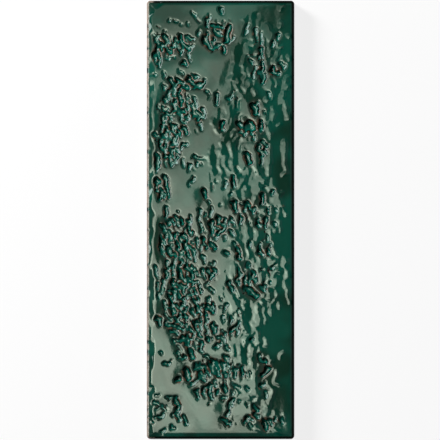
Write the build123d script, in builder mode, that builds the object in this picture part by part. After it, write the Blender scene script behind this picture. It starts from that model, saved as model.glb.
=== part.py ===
# A long glazed ceramic wall tile, one fired piece, lying on its back with the glazed face up.
# Origin: centre of the back, on the plane that the tile rests on. X across, Y along, Z up. Millimetres.
import os
from math import cos, pi, sin

from build123d import *

# Overall size of the tile
tile_width = 101.0
tile_length = 300.0
tile_thickness = 9.5

# Edges: a soft arris all round the face, a low cushion inside it and a small chamfer at the back
arris_radius = 1.5
cushion_width = 4.5
cushion_drop = 0.45
corner_radius = 2.5
back_chamfer = 0.7
side_draft = 0.25

# Back: shallow keys for the adhesive, between ribs that the tile rests on
back_margin = 7.0
rib_width = 3.0
key_depth = 0.9
key_corner = 1.2
keys_across = 3
keys_along = 10

# Face relief: hammered hollows in the skin, each as deep as this share of its width, within the limits
scoop_share = 0.3
least_scoop_depth = 0.45
most_scoop_depth = 1.5

# Walls of a hollow, from above the skin to its floor: share of its depth, share of its width
scoop_profile = [(-0.5, 1.25), (0.6, 0.7), (1.0, 0.3)]

# The face on which the hollows below were laid out, so that they follow a change of size
layout_width = 100.0
layout_length = 300.0

# Each hollow runs from one point to another: x, y, x, y and its width at the skin
top_hollows = [
    (-34.5, 137.0, -33.8, 136.6, 2.2),
    (-31.0, 136.0, -29.3, 135.4, 2.2),
    (-17.8, 141.2, -16.8, 138.3, 2.6),
    (0.7, 144.0, 0.9, 141.2, 2.8),
    (-9.6, 138.0, -8.8, 132.0, 3.2),
    (-5.5, 133.3, 1.5, 131.3, 3.4),
    (-4.6, 129.2, 2.3, 125.7, 3.0),
    (5.2, 131.3, 4.0, 121.5, 4.6),
    (8.8, 125.5, 5.2, 119.5, 2.6),
    (2.2, 117.5, 2.6, 113.5, 3.6),
    (-10.3, 123.5, -7.5, 117.5, 4.4),
    (-6.0, 116.0, 1.3, 120.0, 2.8),
    (-45.0, 125.4, -40.5, 125.2, 2.4),
    (-42.8, 122.8, -42.2, 117.5, 3.4),
    (-43.7, 116.0, -44.6, 108.5, 3.6),
    (-42.5, 106.8, -39.5, 109.0, 2.4),
    (-37.5, 124.0, -36.5, 117.0, 3.8),
    (-33.3, 124.8, -33.3, 118.5, 2.4),
    (-27.2, 124.3, -25.0, 119.2, 4.6),
    (-22.6, 124.4, -18.4, 122.6, 3.0),
    (-25.5, 117.4, -18.5, 119.6, 2.6),
    (-21.4, 116.6, -21.2, 108.0, 2.4),
    (-25.3, 107.3, -22.8, 104.5, 3.2),
    (-45.2, 99.0, -43.5, 98.2, 2.6),
    (-37.5, 129.3, -37.4, 128.7, 2.2),
    (-7.5, 139.5, -9.3, 136.5, 2.4),
    (-15.6, 129.5, -14.8, 125.5, 2.2),
    (-37.0, 109.8, -31.0, 111.0, 2.2),
    (-30.0, 121.0, -31.0, 118.0, 3.0),
    (27.0, 127.5, 28.0, 120.5, 2.6),
    (35.2, 121.5, 35.0, 117.0, 2.4),
    (37.5, 101.0, 40.0, 98.0, 3.0),
    (24.0, 104.0, 21.5, 98.0, 2.6),
    (26.0, 102.0, 27.0, 97.0, 2.4),
    (17.0, 126.0, 18.5, 134.0, 2.5),
    (23.5, 131.0, 24.5, 123.0, 2.6),
    (-5.4, 121.5, -5.0, 118.5, 2.6),
]
upper_hollows = [
    (-21.5, 95.5, -15.5, 91.8, 5.4),
    (-12.6, 92.2, -10.4, 95.4, 3.4),
    (-34.5, 96.0, -31.5, 91.5, 3.2),
    (-28.0, 84.2, -26.0, 79.0, 4.4),
    (-36.6, 85.5, -37.0, 79.5, 3.0),
    (-27.5, 75.2, -26.6, 69.4, 2.8),
    (-22.9, 76.4, -21.6, 71.6, 2.6),
    (-25.4, 67.2, -21.2, 68.6, 2.8),
    (-18.4, 82.4, -16.4, 77.0, 3.0),
    (-16.2, 72.6, -13.6, 69.2, 5.2),
    (-14.6, 65.8, -13.6, 61.2, 2.4),
    (-39.6, 70.0, -38.4, 66.4, 3.4),
    (-31.2, 64.2, -28.4, 61.4, 3.2),
    (-44.3, 58.6, -42.0, 56.2, 3.0),
    (-36.6, 57.0, -37.0, 52.4, 2.8),
    (-24.4, 52.0, -26.6, 47.6, 2.8),
    (-39.4, 49.0, -37.6, 45.6, 3.6),
    (-43.0, 44.0, -42.2, 33.5, 3.4),
    (-17.6, 43.0, -13.6, 41.4, 2.6),
    (-2.5, 86.4, -2.0, 79.2, 3.2),
    (8.3, 87.4, 4.8, 82.2, 2.4),
    (1.6, 66.4, 0.8, 62.4, 4.0),
    (22.6, 78.8, 24.8, 72.4, 6.6),
    (12.6, 66.4, 14.2, 63.4, 4.2),
    (17.8, 65.6, 16.8, 58.6, 2.8),
    (27.2, 66.0, 28.0, 60.2, 4.0),
    (29.0, 52.6, 31.6, 49.6, 3.6),
    (26.2, 49.2, 28.4, 43.6, 4.0),
    (17.6, 43.8, 20.4, 37.4, 4.4),
    (26.8, 118.0, 28.0, 109.4, 3.6),
    (28.6, 106.4, 29.0, 92.6, 3.4),
    (38.3, 127.0, 38.5, 123.2, 3.0),
    (40.6, 107.4, 42.6, 101.8, 2.8),
    (20.6, 108.4, 22.0, 105.0, 3.0),
    (-13.0, 92.0, -18.0, 89.5, 3.0),
    (-33.0, 90.0, -35.0, 86.0, 3.0),
    (-38.0, 92.0, -38.5, 89.0, 2.2),
    (-33.5, 81.0, -31.0, 78.5, 2.6),
    (-42.5, 77.5, -40.0, 74.0, 2.4),
    (-38.0, 76.0, -37.0, 72.0, 2.6),
    (-31.0, 75.5, -33.0, 71.5, 2.8),
    (-18.5, 76.0, -17.3, 71.0, 3.0),
    (-11.6, 76.0, -11.8, 70.0, 2.6),
    (-37.5, 63.0, -35.0, 60.0, 3.0),
    (-28.0, 60.0, -27.0, 57.0, 2.6),
    (-33.0, 60.5, -33.5, 58.0, 2.4),
    (-25.0, 62.0, -21.5, 60.5, 2.4),
    (-40.0, 57.0, -39.0, 53.0, 2.6),
    (-31.0, 56.0, -32.0, 52.0, 2.2),
    (-29.5, 49.0, -27.5, 44.0, 2.8),
    (-33.5, 43.0, -35.0, 39.0, 2.4),
    (-37.0, 38.5, -36.5, 35.5, 2.6),
    (13.5, 60.0, 16.0, 57.0, 3.0),
    (21.0, 64.0, 20.5, 58.0, 3.0),
    (22.0, 57.0, 23.0, 54.5, 2.4),
    (27.5, 42.0, 28.0, 36.0, 2.4),
    (32.0, 86.0, 33.0, 83.0, 2.6),
    (-22.8, 84.5, -23.0, 79.5, 2.6),
    (-31.4, 88.0, -31.2, 84.5, 2.4),
    (-26.0, 91.5, -21.0, 90.0, 3.6),
    (-30.0, 59.0, -29.8, 52.5, 2.6),
    (-33.6, 56.5, -33.4, 51.5, 2.4),
    (-34.8, 48.5, -33.8, 44.5, 3.0),
    (-16.6, 39.5, -15.8, 36.0, 3.0),
    (-26.4, 40.5, -25.2, 36.0, 2.4),
]
middle_hollows = [
    (-42.5, 28.0, -43.0, 20.5, 4.4),
    (-40.4, 18.6, -41.0, 13.2, 4.0),
    (-36.4, 8.0, -37.0, 1.4, 3.0),
    (-19.0, 28.0, -20.4, 23.6, 2.6),
    (-11.4, 19.4, -9.6, 15.8, 4.4),
    (-6.2, 9.0, -7.0, 2.6, 2.4),
    (-13.8, 7.4, -14.4, 5.2, 2.6),
    (-20.0, 2.0, -21.4, -3.0, 2.6),
    (-6.6, -1.2, -5.6, -9.2, 5.4),
    (-1.4, 0.6, -1.0, -2.8, 4.4),
    (2.7, 1.0, 3.8, -4.0, 3.0),
    (-2.4, -9.4, 2.2, -6.2, 4.0),
    (9.0, 12.0, 10.8, 6.2, 4.8),
    (17.4, 11.0, 16.0, 5.6, 3.6),
    (22.6, 9.0, 21.2, 4.2, 3.2),
    (14.0, 0.4, 13.2, -3.4, 3.2),
    (24.6, -1.0, 26.4, -6.0, 3.4),
    (30.5, 0.4, 30.2, -6.0, 3.4),
    (27.6, 18.0, 28.4, 11.2, 4.0),
    (-6.0, -17.2, -3.4, -20.0, 4.4),
    (-37.0, -35.0, -36.0, -40.0, 3.6),
    (-9.0, -34.8, -8.0, -37.4, 3.4),
    (-35.8, -47.2, -33.6, -46.2, 3.0),
    (-8.8, -59.8, -5.2, -63.2, 5.4),
    (-42.2, -67.8, -41.2, -72.0, 4.0),
    (-35.8, -71.6, -29.4, -72.4, 3.4),
    (-24.0, -71.0, -22.6, -76.8, 2.8),
    (-5.0, -72.4, -4.4, -75.6, 4.2),
    (7.2, -76.2, 9.6, -73.4, 5.4),
    (17.4, -47.2, 24.6, -52.0, 6.6),
    (12.4, -34.2, 11.6, -43.6, 3.2),
    (22.0, -81.6, 21.0, -84.0, 3.2),
    (-38.0, 30.0, -35.0, 14.0, 3.5),
    (-7.4, 12.7, -7.2, 12.0, 2.6),
    (-10.1, 2.9, -9.9, 2.2, 2.4),
    (-28.9, 5.9, -28.7, 5.2, 2.2),
    (-14.5, 3.0, -15.0, -1.0, 2.4),
    (-29.0, 1.0, -30.0, -3.0, 2.8),
    (2.5, 21.5, 4.0, 26.0, 2.4),
    (7.7, 17.9, 7.9, 17.2, 3.0),
    (9.0, 24.0, 8.0, 30.0, 3.6),
    (36.0, 20.0, 34.0, 17.0, 3.0),
    (36.5, 8.0, 37.5, 6.0, 2.4),
    (7.5, 0.0, 9.5, -5.0, 2.8),
    (6.5, -7.0, 9.0, -10.5, 3.0),
    (3.0, -22.0, 5.5, -24.0, 3.6),
    (9.5, -17.0, 10.0, -19.0, 2.6),
    (-44.0, -33.0, -43.0, -39.0, 3.0),
    (-16.5, -36.0, -15.5, -39.0, 2.6),
    (-7.0, -46.5, -4.5, -50.0, 2.8),
    (-18.0, -56.0, -16.0, -60.0, 3.0),
    (-17.5, -72.0, -14.0, -78.0, 3.0),
    (11.0, -72.0, 11.5, -79.0, 3.0),
    (-22.0, -84.0, -19.0, -82.0, 4.0),
    (-33.0, -77.0, -30.0, -78.0, 3.0),
    (27.4, -33.9, 27.6, -33.2, 2.4),
    (34.5, -33.0, 36.0, -31.0, 2.6),
    (-40.0, -4.0, -38.5, -8.0, 2.4),
    (-31.0, -9.5, -30.5, -14.0, 2.6),
    (-27.5, -12.0, -26.0, -16.5, 2.4),
    (-24.0, -13.0, -23.0, -20.0, 4.0),
    (-38.0, -13.0, -37.5, -18.0, 2.4),
    (-30.0, -18.5, -27.5, -20.0, 2.2),
    (-22.0, -24.0, -20.5, -27.5, 3.0),
    (-16.0, -13.0, -15.5, -20.0, 3.0),
    (-36.0, -22.0, -34.0, -25.0, 2.6),
    (-28.0, -25.0, -26.0, -29.0, 2.8),
    (-12.5, -24.5, -11.0, -28.0, 2.6),
    (11.6, -20.0, 12.8, -27.0, 3.8),
    (20.0, -15.0, 20.6, -20.0, 2.6),
    (26.0, -20.0, 29.0, -24.0, 2.4),
    (31.0, -12.0, 34.0, -17.0, 2.4),
    (31.0, -20.0, 33.5, -24.0, 2.4),
    (36.0, -2.0, 36.5, -6.0, 2.4),
    (-36.2, -29.0, -35.6, -32.0, 2.8),
    (-28.6, -34.0, -28.2, -32.4, 2.2),
    (-20.5, -33.0, -18.0, -35.0, 2.4),
    (-21.0, -36.5, -19.0, -39.5, 2.6),
    (-12.0, -35.0, -11.5, -39.0, 3.0),
    (-23.5, -40.0, -21.0, -43.0, 2.4),
    (-31.0, -45.5, -28.0, -44.5, 2.4),
    (-26.0, -44.5, -24.0, -46.5, 2.2),
    (-20.5, -49.5, -17.5, -51.0, 2.6),
    (-24.0, -52.0, -21.5, -54.5, 2.6),
    (-30.0, -51.5, -27.5, -54.0, 2.4),
    (-36.0, -50.5, -33.0, -51.5, 2.4),
    (-42.5, -43.5, -42.0, -47.0, 2.4),
    (-41.5, -50.0, -42.0, -54.0, 2.6),
    (-38.0, -56.5, -36.5, -60.0, 2.6),
    (-33.5, -55.5, -31.0, -58.5, 2.6),
    (-25.5, -57.5, -23.5, -61.5, 2.6),
    (-20.0, -64.0, -17.0, -64.8, 2.4),
    (-28.5, -66.5, -26.0, -68.0, 2.4),
    (-37.0, -64.5, -34.5, -67.0, 2.4),
    (-26.0, -81.0, -24.5, -84.0, 3.0),
    (-15.0, -82.0, -12.5, -84.0, 2.6),
    (-9.0, -79.5, -8.0, -83.0, 2.6),
    (1.0, -81.5, 3.0, -84.5, 2.6),
    (4.0, -86.0, 6.0, -88.5, 2.6),
    (-9.0, -67.5, -8.5, -70.5, 2.4),
    (2.5, -66.5, 2.8, -70.0, 2.6),
    (7.0, -67.0, 7.5, -71.0, 2.6),
    (19.5, -41.5, 20.0, -45.0, 3.0),
    (27.0, -46.0, 30.0, -48.5, 2.6),
    (18.4, -30.0, 18.6, -33.0, 2.4),
    (22.0, -36.0, 24.5, -42.0, 3.4),
    (5.5, -44.0, 8.5, -49.0, 3.4),
    (-21.5, -3.5, -21.0, -9.0, 3.0),
    (-13.6, -2.0, -12.2, -9.0, 2.6),
    (-36.5, -7.0, -32.6, -15.5, 2.6),
    (-27.5, -20.5, -24.0, -24.5, 2.4),
    (-19.3, -8.0, -19.6, -14.0, 2.4),
    (-18.4, -21.0, -17.0, -27.0, 2.8),
    (-13.0, -18.0, -12.8, -22.5, 2.4),
    (2.6, -11.0, 3.2, -13.5, 2.6),
    (-7.0, -30.5, -3.5, -29.5, 2.4),
    (-32.0, -29.0, -31.8, -38.0, 2.6),
    (-24.2, -30.8, -22.8, -33.0, 2.2),
    (-39.0, -42.0, -39.4, -50.0, 2.6),
    (-29.3, -47.5, -29.0, -49.0, 2.4),
    (-35.5, -59.5, -31.5, -63.5, 2.6),
    (-14.0, -60.0, -13.5, -65.0, 2.6),
    (-9.8, -45.8, -8.2, -43.0, 2.2),
    (-7.6, -52.5, -8.5, -56.0, 2.4),
    (1.6, -62.0, 4.8, -58.2, 2.4),
    (-34.0, -18.5, -32.4, -22.0, 2.4),
    (-40.6, -9.0, -40.8, -13.0, 2.2),
    (-3.8, -87.6, 0.5, -85.4, 2.8),
    (-21.5, -85.5, -20.0, -89.0, 2.6),
    (-13.6, -70.0, -12.6, -74.5, 3.2),
    (-9.5, -73.0, -9.2, -77.0, 2.4),
]
bottom_hollows = [
    (-37.8, -97.5, -34.6, -98.4, 2.8),
    (-29.8, -108.6, -27.4, -109.4, 4.2),
    (-23.0, -103.0, -21.6, -109.6, 4.8),
    (-19.8, -111.8, -15.2, -108.4, 2.6),
    (-29.6, -123.0, -29.2, -129.0, 3.4),
    (-28.6, -131.6, -28.6, -137.2, 2.8),
    (-24.4, -136.0, -22.2, -139.4, 3.2),
    (-43.4, -135.0, -39.0, -133.6, 2.6),
    (-32.5, -141.0, -32.5, -143.6, 2.6),
    (-16.0, -117.2, -15.6, -121.8, 4.0),
    (-7.4, -113.0, -6.0, -121.8, 3.8),
    (-4.8, -99.4, -1.2, -106.6, 6.8),
    (2.2, -101.0, 3.6, -107.0, 4.0),
    (-14.0, -107.0, -10.2, -109.8, 3.6),
    (2.6, -113.6, 3.4, -117.4, 4.2),
    (1.0, -120.8, 4.0, -121.5, 3.0),
    (8.4, -123.2, 6.2, -127.8, 3.4),
    (14.6, -101.2, 15.0, -106.0, 4.0),
    (5.4, -130.2, 4.6, -134.0, 3.2),
    (1.6, -136.6, 6.4, -139.4, 3.6),
    (17.0, -137.0, 21.0, -136.2, 3.6),
    (23.0, -128.2, 25.4, -130.4, 4.0),
    (29.8, -138.6, 31.0, -142.4, 4.8),
    (29.0, -96.2, 31.0, -99.0, 4.0),
    (-38.0, -121.5, -29.0, -121.8, 2.2),
    (-45.0, -124.5, -41.5, -126.5, 2.4),
    (-44.0, -129.0, -39.0, -126.0, 2.2),
    (-32.1, -132.4, -31.9, -131.7, 2.8),
    (-40.0, -145.5, -37.0, -143.5, 2.2),
    (-12.0, -118.0, -10.0, -122.0, 2.4),
    (-4.5, -110.0, -4.0, -114.0, 2.8),
    (-12.0, -101.0, -17.0, -98.0, 3.6),
    (-2.1, -117.9, -1.9, -117.2, 3.6),
    (12.4, -123.9, 12.6, -123.2, 2.4),
    (18.5, -115.5, 17.0, -113.0, 2.4),
    (19.4, -104.9, 19.6, -104.2, 2.4),
    (19.0, -140.0, 22.0, -142.0, 2.4),
    (32.0, -103.0, 28.0, -107.0, 4.0),
    (33.5, -136.0, 34.5, -139.0, 3.4),
    (27.5, -113.0, 30.0, -111.0, 3.0),
    (-29.0, -87.0, -26.5, -90.0, 2.8),
    (-14.0, -88.0, -11.5, -90.5, 2.6),
    (-20.5, -91.5, -18.5, -95.0, 2.6),
    (-9.5, -93.0, -7.0, -95.5, 2.6),
    (3.0, -92.5, 5.0, -96.5, 3.0),
    (8.5, -103.5, 9.5, -107.5, 2.6),
    (9.5, -112.5, 11.5, -115.0, 2.6),
    (26.5, -92.0, 27.0, -97.0, 3.0),
    (24.0, -133.0, 26.0, -136.0, 3.0),
    (31.0, -117.5, 30.5, -121.5, 2.6),
    (40.5, -135.5, 42.0, -138.5, 2.6),
    (-40.5, -90.5, -39.5, -92.0, 2.2),
    (-28.8, -92.0, -28.2, -96.0, 2.6),
    (-14.5, -103.0, -11.5, -106.0, 2.6),
]


def tile_section(overall):
    """The tile's cross-section, with its chamfer, side, arris, cushion and flat top, standing on the X axis."""
    half = overall / 2
    arris_top = tile_thickness - cushion_drop
    with BuildSketch() as section:
        with BuildLine():
            Polyline(
                (0, 0),
                (half - side_draft - back_chamfer, 0),
                (half - side_draft, back_chamfer),
                (half, arris_top - arris_radius),
            )
            RadiusArc((half, arris_top - arris_radius), (half - arris_radius, arris_top), -arris_radius)
            Spline(
                (half - arris_radius, arris_top),
                (half - cushion_width, tile_thickness),
                tangents=[(-1, 2 * cushion_drop / cushion_width), (-1, 0)],
            )
            Polyline((half - cushion_width, tile_thickness), (0, tile_thickness), (0, 0))
        make_face()
        mirror(about=Plane.YZ)
    return section.sketch_local


def long_hexagon(length, half_width):
    """The corners of a hexagon about the origin, drawn out along X by a length, with a point at each end."""
    reach = half_width / sin(pi / 3)
    corners = []
    for number in range(6):
        angle = number * pi / 3
        shift = length if cos(angle) > 0 else 0
        corners.append((reach * cos(angle) + shift, reach * sin(angle)))
    return corners


def scoop(x1, y1, x2, y2, width):
    """A hammered trough between two points of the face: it deepens with its width, and flattens towards its floor."""
    depth = min(max(width * scoop_share, least_scoop_depth), most_scoop_depth)
    across, along = tile_width / layout_width, tile_length / layout_length
    start = Vector(x1 * across, y1 * along, tile_thickness)
    run = Vector(x2 * across, y2 * along, tile_thickness) - start
    with BuildPart() as trough:
        for depth_share, width_share in scoop_profile:
            with BuildSketch(Plane(origin=start - (0, 0, depth * depth_share), x_dir=run, z_dir=(0, 0, 1))):
                with BuildLine():
                    Polyline(*long_hexagon(run.length, width / 2 * width_share), close=True)
                make_face()
        loft(ruled=True)
    return trough.part


with BuildPart() as tile:
    with BuildSketch(Plane.XZ):
        add(tile_section(tile_width))
    extrude(amount=tile_length / 2, both=True)
    with BuildSketch(Plane.YZ):
        add(tile_section(tile_length))
    extrude(amount=tile_width / 2, both=True, mode=Mode.INTERSECT)
    with BuildSketch():
        RectangleRounded(tile_width, tile_length, corner_radius)
    extrude(amount=tile_thickness, mode=Mode.INTERSECT)

    key_field_width = tile_width - 2 * back_margin
    key_field_length = tile_length - 2 * back_margin
    key_width = (key_field_width - (keys_across - 1) * rib_width) / keys_across
    key_length = (key_field_length - (keys_along - 1) * rib_width) / keys_along
    with BuildSketch() as back_keys:
        with GridLocations(key_width + rib_width, key_length + rib_width, keys_across, keys_along):
            Rectangle(key_width, key_length)
        chamfer(back_keys.vertices(), key_corner)
    extrude(amount=key_depth, mode=Mode.SUBTRACT)

    hollows = top_hollows + upper_hollows + middle_hollows + bottom_hollows
    add([scoop(*hollow) for hollow in hollows], mode=Mode.SUBTRACT)

tile.part.label = "tile"
os.makedirs("parts", exist_ok=True)
export_step(tile.part, "parts/tile.step")
print(f"tile {tile.part.volume / 1000:.1f} cm3, {len(tile.part.faces())} faces, {len(hollows)} hollows")
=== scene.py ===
import math

import bpy
from mathutils import Matrix, Vector


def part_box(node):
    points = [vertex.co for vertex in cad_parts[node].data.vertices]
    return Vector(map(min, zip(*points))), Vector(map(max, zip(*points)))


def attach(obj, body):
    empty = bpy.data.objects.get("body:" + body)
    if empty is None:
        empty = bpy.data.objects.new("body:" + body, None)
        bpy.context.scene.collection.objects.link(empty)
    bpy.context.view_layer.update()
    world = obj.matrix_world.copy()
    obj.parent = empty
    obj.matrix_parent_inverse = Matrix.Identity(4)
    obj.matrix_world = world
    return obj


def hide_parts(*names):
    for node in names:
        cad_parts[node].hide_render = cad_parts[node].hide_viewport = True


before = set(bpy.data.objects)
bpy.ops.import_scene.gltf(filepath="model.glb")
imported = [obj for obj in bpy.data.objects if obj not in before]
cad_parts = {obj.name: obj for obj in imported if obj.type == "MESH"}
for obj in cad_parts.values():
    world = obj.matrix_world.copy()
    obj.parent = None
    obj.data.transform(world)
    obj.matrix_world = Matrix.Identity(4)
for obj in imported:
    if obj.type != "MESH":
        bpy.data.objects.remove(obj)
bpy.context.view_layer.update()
tileLow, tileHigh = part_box("tile")
tileWidth, tileLength, tileTop = tileHigh.x - tileLow.x, tileHigh.y - tileLow.y, tileHigh.z
mm = 0.001
print("frame loaded:", round(tileWidth / mm, 1), "by", round(tileLength / mm, 1), "mm tile")


def mathsNode(operation):
    # What one of Python's own signs does with a wire
    return lambda first, second: first.graph.maths(operation, first, second)


class Wire:
    # One socket of a node tree. Python's own maths on it adds the Math nodes.
    def __init__(self, graph, socket):
        self.graph, self.socket = graph, socket

    __add__ = __radd__ = mathsNode("ADD")
    __sub__ = mathsNode("SUBTRACT")
    __mul__ = __rmul__ = mathsNode("MULTIPLY")
    __truediv__ = mathsNode("DIVIDE")
    __pow__ = mathsNode("POWER")

    def __rsub__(self, other):
        return self.graph.maths("SUBTRACT", other, self)

    def __neg__(self):
        return self * -1

    def __abs__(self):
        return self.graph.maths("ABSOLUTE", self)


class Graph:
    # A shader or geometry node tree
    def __init__(self, tree):
        self.tree = tree

    def add(self, kind, sockets=None, settings=None):
        # Any node. Once its settings are made, each socket gets a value or a wire.
        node = self.tree.nodes.new(kind)
        for name, value in (settings or {}).items():
            setattr(node, name, value)
        for name, value in (sockets or {}).items():
            if isinstance(value, Wire):
                self.tree.links.new(value.socket, node.inputs[name])
            else:
                node.inputs[name].default_value = value
        return node

    def take(self, kind, output, sockets=None, settings=None):
        return Wire(self, self.add(kind, sockets, settings).outputs[output])

    def maths(self, operation, first, second=0.0):
        return self.take("ShaderNodeMath", 0, {0: first, 1: second}, {"operation": operation})

    def vector(self, operation, first, second):
        return self.take("ShaderNodeVectorMath", "Vector", {0: first, 1: second}, {"operation": operation})

    def smaller(self, first, second):
        return self.maths("MINIMUM", first, second)

    def larger(self, first, second):
        return self.maths("MAXIMUM", first, second)

    def ramp(self, value, start, end, low=0.0, high=1.0):
        # Eases from low to high as the value goes from start to end
        sockets = {"Value": value, "From Min": start, "From Max": end, "To Min": low, "To Max": high}
        return self.take("ShaderNodeMapRange", "Result", sockets, {"interpolation_type": "SMOOTHSTEP"})

    def noise(self, place, scale, detail, roughness=0.5, output=0):
        # Output 0 is a number, and output 1 a colour
        sockets = {"Vector": place, "Scale": scale, "Detail": detail, "Roughness": roughness}
        return self.take("ShaderNodeTexNoise", output, sockets)

    def sway(self, place, noise, amount):
        # Noise that goes up to the amount either way
        return (self.noise(place, *noise) - 0.5) * 2 * amount

    def eased(self, value, softness):
        # A value's size, rounded off where it comes near nothing
        return (value * value + softness * softness) ** 0.5 - softness

    def overlap(self, wires, rows):
        # The product of several ramps. Each row names its wire, and the rest of it is its ramp.
        share = 1
        for name, *ramp in rows:
            share = self.ramp(wires[name], *ramp) * share
        return share

    def blur(self, value, rounds):
        return self.take("GeometryNodeBlurAttribute", 0, {0: value, "Iterations": rounds})

    def store(self, shape, name, value):
        sockets = {"Geometry": shape, "Name": name, "Value": value}
        return self.take("GeometryNodeStoreNamedAttribute", "Geometry", sockets)

    def blend(self, factor, first, second):
        # Mixes two colours
        return self.take("ShaderNodeMix", 2, {0: factor, 6: first, 7: second}, {"data_type": "RGBA"})

    def point(self, x, y, z):
        return self.take("ShaderNodeCombineXYZ", "Vector", {"X": x, "Y": y, "Z": z})

    def parts(self, place):
        node = self.add("ShaderNodeSeparateXYZ", {0: place})
        return [Wire(self, socket) for socket in node.outputs]


def emptyTree(owner):
    # The node tree of a new material or world
    owner.use_nodes = True
    owner.node_tree.nodes.clear()
    return Graph(owner.node_tree)


def pick(*things):
    # Selects only these, with the first of them active
    bpy.ops.object.select_all(action="DESELECT")
    for thing in reversed(things):
        thing.select_set(True)
        bpy.context.view_layer.objects.active = thing


# The pressed body, in millimetres and degrees. The back's keys are the same as in the frame.
body = {
    "gridStep": 0.6,
    "arrisRadius": 1.5,
    "arrisSteps": 5,
    "sideDraft": 0.25,
    "backChamfer": 0.7,
    "cornerRadius": 2.5,
    "backMargin": 7.0,
    "ribWidth": 3.0,
    "keyDepth": 0.9,
    "keyCorner": 1.2,
    "keysAcross": 3,
    "keysAlong": 10,
    "smoothAngle": 28,
    "tiny": 0.001,
}


def ringPath():
    # Distance out from the arris's inner line, and height, for each ring from the face down to the back
    radius = body["arrisRadius"]
    rings = []
    for number in range(1, body["arrisSteps"] + 1):
        turn = math.pi / 2 * number / body["arrisSteps"]
        rings.append((radius * math.sin(turn), tileTop / mm - radius * (1 - math.cos(turn))))
    rings.append((radius - body["sideDraft"] / 2, (tileTop / mm - radius) / 2))
    rings.append((radius - body["sideDraft"], body["backChamfer"]))
    rings.append((radius - body["sideDraft"] - body["backChamfer"], 0.0))
    return rings


def makeBody():
    # A finely divided face, with its arris, sides and chamfer drawn out of it ring by ring
    innerWidth = tileWidth - 2 * body["arrisRadius"] * mm
    innerLength = tileLength - 2 * body["arrisRadius"] * mm
    pick()
    bpy.ops.mesh.primitive_grid_add(
        x_subdivisions=round(innerWidth / (body["gridStep"] * mm)),
        y_subdivisions=round(innerLength / (body["gridStep"] * mm)),
        size=1,
        location=(0, 0, tileTop),
    )
    tile = bpy.context.object
    tile.name = "glazedTile"
    bpy.ops.object.transform_apply(location=True, rotation=False, scale=False)
    bpy.ops.object.mode_set(mode="EDIT")
    bpy.ops.mesh.select_all(action="SELECT")
    bpy.ops.transform.resize(value=(innerWidth, innerLength, 1), center_override=(0, 0, tileTop))
    bpy.ops.mesh.region_to_loop()
    reach, height = 0.0, tileTop / mm
    for nextReach, nextHeight in ringPath():
        rise = (nextHeight - height) * mm
        bpy.ops.mesh.extrude_region_move(TRANSFORM_OT_translate={"value": (0, 0, rise)})
        sides = (innerWidth, innerLength)
        growth = [(side + 2 * nextReach * mm) / (side + 2 * reach * mm) for side in sides]
        bpy.ops.transform.resize(value=(*growth, 1), center_override=(0, 0, nextHeight * mm))
        reach, height = nextReach, nextHeight
    bpy.ops.object.mode_set(mode="OBJECT")
    return tile


def makeBack():
    # The back's keys: a grid of cells, inset by half a rib, pushed in and chamfered at their corners
    fieldWidth = tileWidth / mm - 2 * body["backMargin"] + body["ribWidth"]
    fieldLength = tileLength / mm - 2 * body["backMargin"] + body["ribWidth"]
    pick()
    bpy.ops.mesh.primitive_grid_add(
        x_subdivisions=body["keysAcross"], y_subdivisions=body["keysAlong"], size=1, location=(0, 0, 0)
    )
    back = bpy.context.object
    bpy.ops.object.mode_set(mode="EDIT")
    bpy.ops.mesh.select_all(action="SELECT")
    bpy.ops.transform.resize(value=(fieldWidth * mm, fieldLength * mm, 1), center_override=(0, 0, 0))
    bpy.ops.mesh.inset(thickness=body["ribWidth"] / 2 * mm, use_individual=True)
    bpy.ops.mesh.extrude_region_move(TRANSFORM_OT_translate={"value": (0, 0, body["keyDepth"] * mm)})
    # Only the upright edges are chamfered
    bpy.ops.mesh.select_mode(type="EDGE")
    bpy.ops.mesh.select_all(action="DESELECT")
    bpy.ops.object.mode_set(mode="OBJECT")
    mesh = back.data
    for edge in mesh.edges:
        low, high = (mesh.vertices[v].co.z for v in edge.vertices)
        edge.select = abs(high - low) > 0.5 * body["keyDepth"] * mm
    bpy.ops.object.mode_set(mode="EDIT")
    bpy.ops.mesh.bevel(offset=body["keyCorner"] * mm, segments=1)
    bpy.ops.object.mode_set(mode="OBJECT")
    return back


def joinBack(tile, back):
    # One shell: the ring between the chamfer's foot and the keys is filled, and all faces point outwards
    pick(tile, back)
    bpy.ops.object.join()
    bpy.ops.object.mode_set(mode="EDIT")
    bpy.ops.mesh.select_mode(type="EDGE")
    bpy.ops.mesh.select_all(action="DESELECT")
    bpy.ops.mesh.select_non_manifold()
    bpy.ops.mesh.fill(use_beauty=False)
    bpy.ops.mesh.select_all(action="SELECT")
    bpy.ops.mesh.normals_make_consistent(inside=False)
    bpy.ops.object.mode_set(mode="OBJECT")


tile = makeBody()
joinBack(tile, makeBack())
print("body made:", len(tile.data.polygons), "faces")


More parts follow.
